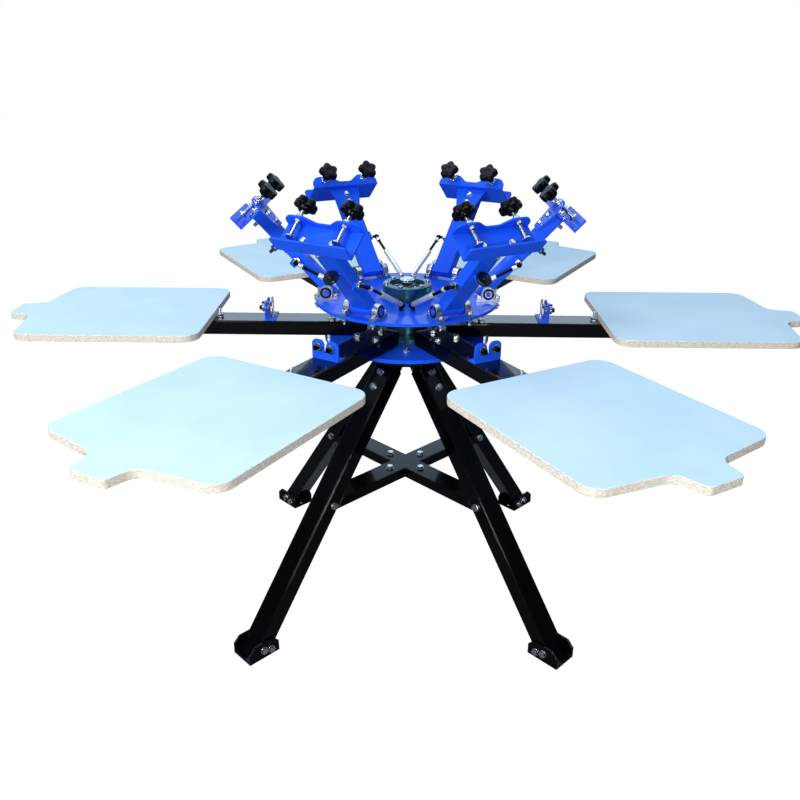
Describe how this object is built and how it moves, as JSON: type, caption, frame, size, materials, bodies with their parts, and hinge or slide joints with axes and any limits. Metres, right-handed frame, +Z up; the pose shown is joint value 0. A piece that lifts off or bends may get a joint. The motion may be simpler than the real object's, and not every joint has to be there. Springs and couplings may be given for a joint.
{
  "type": "carousel screen printing press",
  "caption": "Floor-standing carousel screen printing press with radial pallets and spring-lifted clamp heads, turned by hand.",
  "frame": {"origin": "on the floor under the main shaft's axis", "axes": "+Z up along the main shaft, +X along pallet and head 1 when both carousels are at rest"},
  "size_m": [2.17, 1.9372, 1.2092],
  "materials": {
    "blue_powder_coat": "gloss",
    "black_powder_coat": "gloss",
    "laminated_board": "satin",
    "zinc_bolts": "satin",
    "zinc_hardware": "satin",
    "bearing_steel": "gloss",
    "plated_housing": "gloss",
    "cast_pillow": "satin",
    "ground_shaft": "gloss",
    "chrome_tube": "gloss",
    "black_rod": "satin",
    "black_knob": "gloss",
    "black_plastic": "matte"
  },
  "bodies": {
    "stand": {"stand_legs": "black_powder_coat", "stand_feet": "black_powder_coat", "cross_brace": "black_powder_coat", "stand_head": "black_powder_coat", "main_shaft": "ground_shaft", "stand_bolts": "zinc_bolts"},
    "station_carousel": {"hub_plate": "blue_powder_coat", "station_bearing": "plated_housing", "station_arms": "black_powder_coat", "arm_end_caps": "black_plastic", "registration_gates": "blue_powder_coat", "gate_rollers": "bearing_steel", "station_bolts": "zinc_bolts", "pallet_1": "laminated_board", "pallet_2": "laminated_board", "pallet_3": "laminated_board", "pallet_4": "laminated_board", "pallet_5": "laminated_board", "pallet_6": "laminated_board"},
    "colour_carousel": {"colour_disc": "blue_powder_coat", "colour_bearing": "plated_housing", "pillow_blocks": "cast_pillow", "disc_fixings": "zinc_bolts"},
    "head_1": {"head_frame_1": "blue_powder_coat", "head_hardware_1": "zinc_hardware"},
    "strut_tube_1": {"strut_tube_1": "chrome_tube"},
    "strut_rod_1": {"strut_rod_1": "black_rod"},
    "clamp_screw_1_left": {"clamp_screw_1_left": "black_knob"},
    "clamp_screw_1_right": {"clamp_screw_1_right": "black_knob"},
    "head_2": {"head_frame_2": "blue_powder_coat", "head_hardware_2": "zinc_hardware"},
    "strut_tube_2": {"strut_tube_2": "chrome_tube"},
    "strut_rod_2": {"strut_rod_2": "black_rod"},
    "clamp_screw_2_left": {"clamp_screw_2_left": "black_knob"},
    "clamp_screw_2_right": {"clamp_screw_2_right": "black_knob"},
    "head_3": {"head_frame_3": "blue_powder_coat", "head_hardware_3": "zinc_hardware"},
    "strut_tube_3": {"strut_tube_3": "chrome_tube"},
    "strut_rod_3": {"strut_rod_3": "black_rod"},
    "clamp_screw_3_left": {"clamp_screw_3_left": "black_knob"},
    "clamp_screw_3_right": {"clamp_screw_3_right": "black_knob"},
    "head_4": {"head_frame_4": "blue_powder_coat", "head_hardware_4": "zinc_hardware"},
    "strut_tube_4": {"strut_tube_4": "chrome_tube"},
    "strut_rod_4": {"strut_rod_4": "black_rod"},
    "clamp_screw_4_left": {"clamp_screw_4_left": "black_knob"},
    "clamp_screw_4_right": {"clamp_screw_4_right": "black_knob"},
    "head_5": {"head_frame_5": "blue_powder_coat", "head_hardware_5": "zinc_hardware"},
    "strut_tube_5": {"strut_tube_5": "chrome_tube"},
    "strut_rod_5": {"strut_rod_5": "black_rod"},
    "clamp_screw_5_left": {"clamp_screw_5_left": "black_knob"},
    "clamp_screw_5_right": {"clamp_screw_5_right": "black_knob"},
    "head_6": {"head_frame_6": "blue_powder_coat", "head_hardware_6": "zinc_hardware"},
    "strut_tube_6": {"strut_tube_6": "chrome_tube"},
    "strut_rod_6": {"strut_rod_6": "black_rod"},
    "clamp_screw_6_left": {"clamp_screw_6_left": "black_knob"},
    "clamp_screw_6_right": {"clamp_screw_6_right": "black_knob"}
  },
  "joints": [
    {"name": "station_spin", "type": "hinge", "parent": "stand", "child": "station_carousel", "pos_m": [0, 0, 0.787], "axis": [0, 0, 1], "continuous": true},
    {"name": "colour_spin", "type": "hinge", "parent": "stand", "child": "colour_carousel", "pos_m": [0, 0, 0.891], "axis": [0, 0, 1], "continuous": true},
    {"name": "head_1_tilt", "type": "hinge", "parent": "colour_carousel", "child": "head_1", "pos_m": [0.218, 0, 0.911], "axis": [0, 1, 0], "range_deg": [0, 47.4], "stiffness_Nm_per_rad": 5, "springref_deg": -91.67},
    {"name": "strut_1_foot", "type": "hinge", "parent": "colour_carousel", "child": "strut_tube_1", "pos_m": [0.124, -0.06, 0.904], "axis": [0, 1, 0], "range_deg": [0, 25.88]},
    {"name": "strut_1_head_pin", "type": "hinge", "parent": "head_1", "child": "strut_rod_1", "pos_m": [0.29381, -0.06, 0.99344], "axis": [0, 1, 0], "range_deg": [-21.62, 0]},
    {"name": "clamp_screw_1_left_travel", "type": "slide", "parent": "head_1", "child": "clamp_screw_1_left", "axis": [0.7361, 0, -0.6769], "range_m": [-0.034, 0.0125]},
    {"name": "clamp_screw_1_right_travel", "type": "slide", "parent": "head_1", "child": "clamp_screw_1_right", "axis": [0.7361, 0, -0.6769], "range_m": [-0.034, 0.0125]},
    {"name": "head_2_tilt", "type": "hinge", "parent": "colour_carousel", "child": "head_2", "pos_m": [0.109, 0.18879, 0.911], "axis": [-0.866, 0.5, 0], "range_deg": [0, 47.4], "stiffness_Nm_per_rad": 5, "springref_deg": -91.67},
    {"name": "strut_2_foot", "type": "hinge", "parent": "colour_carousel", "child": "strut_tube_2", "pos_m": [0.01004, 0.13739, 0.904], "axis": [-0.866, 0.5, 0], "range_deg": [0, 25.88]},
    {"name": "strut_2_head_pin", "type": "hinge", "parent": "head_2", "child": "strut_rod_2", "pos_m": [0.09494, 0.28445, 0.99344], "axis": [-0.866, 0.5, 0], "range_deg": [-21.62, 0]},
    {"name": "clamp_screw_2_left_travel", "type": "slide", "parent": "head_2", "child": "clamp_screw_2_left", "axis": [0.368, 0.6375, -0.6769], "range_m": [-0.034, 0.0125]},
    {"name": "clamp_screw_2_right_travel", "type": "slide", "parent": "head_2", "child": "clamp_screw_2_right", "axis": [0.368, 0.6375, -0.6769], "range_m": [-0.034, 0.0125]},
    {"name": "head_3_tilt", "type": "hinge", "parent": "colour_carousel", "child": "head_3", "pos_m": [-0.109, 0.18879, 0.911], "axis": [-0.866, -0.5, 0], "range_deg": [0, 47.4], "stiffness_Nm_per_rad": 5, "springref_deg": -91.67},
    {"name": "strut_3_foot", "type": "hinge", "parent": "colour_carousel", "child": "strut_tube_3", "pos_m": [-0.01004, 0.13739, 0.904], "axis": [-0.866, -0.5, 0], "range_deg": [0, 25.88]},
    {"name": "strut_3_head_pin", "type": "hinge", "parent": "head_3", "child": "strut_rod_3", "pos_m": [-0.09494, 0.28445, 0.99344], "axis": [-0.866, -0.5, 0], "range_deg": [-21.62, 0]},
    {"name": "clamp_screw_3_left_travel", "type": "slide", "parent": "head_3", "child": "clamp_screw_3_left", "axis": [-0.368, 0.6375, -0.6769], "range_m": [-0.034, 0.0125]},
    {"name": "clamp_screw_3_right_travel", "type": "slide", "parent": "head_3", "child": "clamp_screw_3_right", "axis": [-0.368, 0.6375, -0.6769], "range_m": [-0.034, 0.0125]},
    {"name": "head_4_tilt", "type": "hinge", "parent": "colour_carousel", "child": "head_4", "pos_m": [-0.218, 0, 0.911], "axis": [0, -1, 0], "range_deg": [0, 47.4], "stiffness_Nm_per_rad": 5, "springref_deg": -91.67},
    {"name": "strut_4_foot", "type": "hinge", "parent": "colour_carousel", "child": "strut_tube_4", "pos_m": [-0.124, -0.06, 0.904], "axis": [0, -1, 0], "range_deg": [0, 25.88]},
    {"name": "strut_4_head_pin", "type": "hinge", "parent": "head_4", "child": "strut_rod_4", "pos_m": [-0.29381, -0.06, 0.99344], "axis": [0, -1, 0], "range_deg": [-21.62, 0]},
    {"name": "clamp_screw_4_left_travel", "type": "slide", "parent": "head_4", "child": "clamp_screw_4_left", "axis": [-0.7361, 0, -0.6769], "range_m": [-0.034, 0.0125]},
    {"name": "clamp_screw_4_right_travel", "type": "slide", "parent": "head_4", "child": "clamp_screw_4_right", "axis": [-0.7361, 0, -0.6769], "range_m": [-0.034, 0.0125]},
    {"name": "head_5_tilt", "type": "hinge", "parent": "colour_carousel", "child": "head_5", "pos_m": [-0.109, -0.18879, 0.911], "axis": [0.866, -0.5, 0], "range_deg": [0, 47.4], "stiffness_Nm_per_rad": 5, "springref_deg": -91.67},
    {"name": "strut_5_foot", "type": "hinge", "parent": "colour_carousel", "child": "strut_tube_5", "pos_m": [-0.01004, -0.13739, 0.904], "axis": [0.866, -0.5, 0], "range_deg": [0, 25.88]},
    {"name": "strut_5_head_pin", "type": "hinge", "parent": "head_5", "child": "strut_rod_5", "pos_m": [-0.09494, -0.28445, 0.99344], "axis": [0.866, -0.5, 0], "range_deg": [-21.62, 0]},
    {"name": "clamp_screw_5_left_travel", "type": "slide", "parent": "head_5", "child": "clamp_screw_5_left", "axis": [-0.368, -0.6375, -0.6769], "range_m": [-0.034, 0.0125]},
    {"name": "clamp_screw_5_right_travel", "type": "slide", "parent": "head_5", "child": "clamp_screw_5_right", "axis": [-0.368, -0.6375, -0.6769], "range_m": [-0.034, 0.0125]},
    {"name": "head_6_tilt", "type": "hinge", "parent": "colour_carousel", "child": "head_6", "pos_m": [0.109, -0.18879, 0.911], "axis": [0.866, 0.5, 0], "range_deg": [0, 47.4], "stiffness_Nm_per_rad": 5, "springref_deg": -91.67},
    {"name": "strut_6_foot", "type": "hinge", "parent": "colour_carousel", "child": "strut_tube_6", "pos_m": [0.01004, -0.13739, 0.904], "axis": [0.866, 0.5, 0], "range_deg": [0, 25.88]},
    {"name": "strut_6_head_pin", "type": "hinge", "parent": "head_6", "child": "strut_rod_6", "pos_m": [0.09494, -0.28445, 0.99344], "axis": [0.866, 0.5, 0], "range_deg": [-21.62, 0]},
    {"name": "clamp_screw_6_left_travel", "type": "slide", "parent": "head_6", "child": "clamp_screw_6_left", "axis": [0.368, -0.6375, -0.6769], "range_m": [-0.034, 0.0125]},
    {"name": "clamp_screw_6_right_travel", "type": "slide", "parent": "head_6", "child": "clamp_screw_6_right", "axis": [0.368, -0.6375, -0.6769], "range_m": [-0.034, 0.0125]}
  ],
  "couplings": [
    {"joint": "strut_1_foot", "follows": "head_1_tilt", "ratio": 0.54495},
    {"joint": "strut_1_head_pin", "follows": "head_1_tilt", "ratio": -0.45505},
    {"joint": "strut_2_foot", "follows": "head_2_tilt", "ratio": 0.54495},
    {"joint": "strut_2_head_pin", "follows": "head_2_tilt", "ratio": -0.45505},
    {"joint": "strut_3_foot", "follows": "head_3_tilt", "ratio": 0.54495},
    {"joint": "strut_3_head_pin", "follows": "head_3_tilt", "ratio": -0.45505},
    {"joint": "strut_4_foot", "follows": "head_4_tilt", "ratio": 0.54495},
    {"joint": "strut_4_head_pin", "follows": "head_4_tilt", "ratio": -0.45505},
    {"joint": "strut_5_foot", "follows": "head_5_tilt", "ratio": 0.54495},
    {"joint": "strut_5_head_pin", "follows": "head_5_tilt", "ratio": -0.45505},
    {"joint": "strut_6_foot", "follows": "head_6_tilt", "ratio": 0.54495},
    {"joint": "strut_6_head_pin", "follows": "head_6_tilt", "ratio": -0.45505}
  ]
}
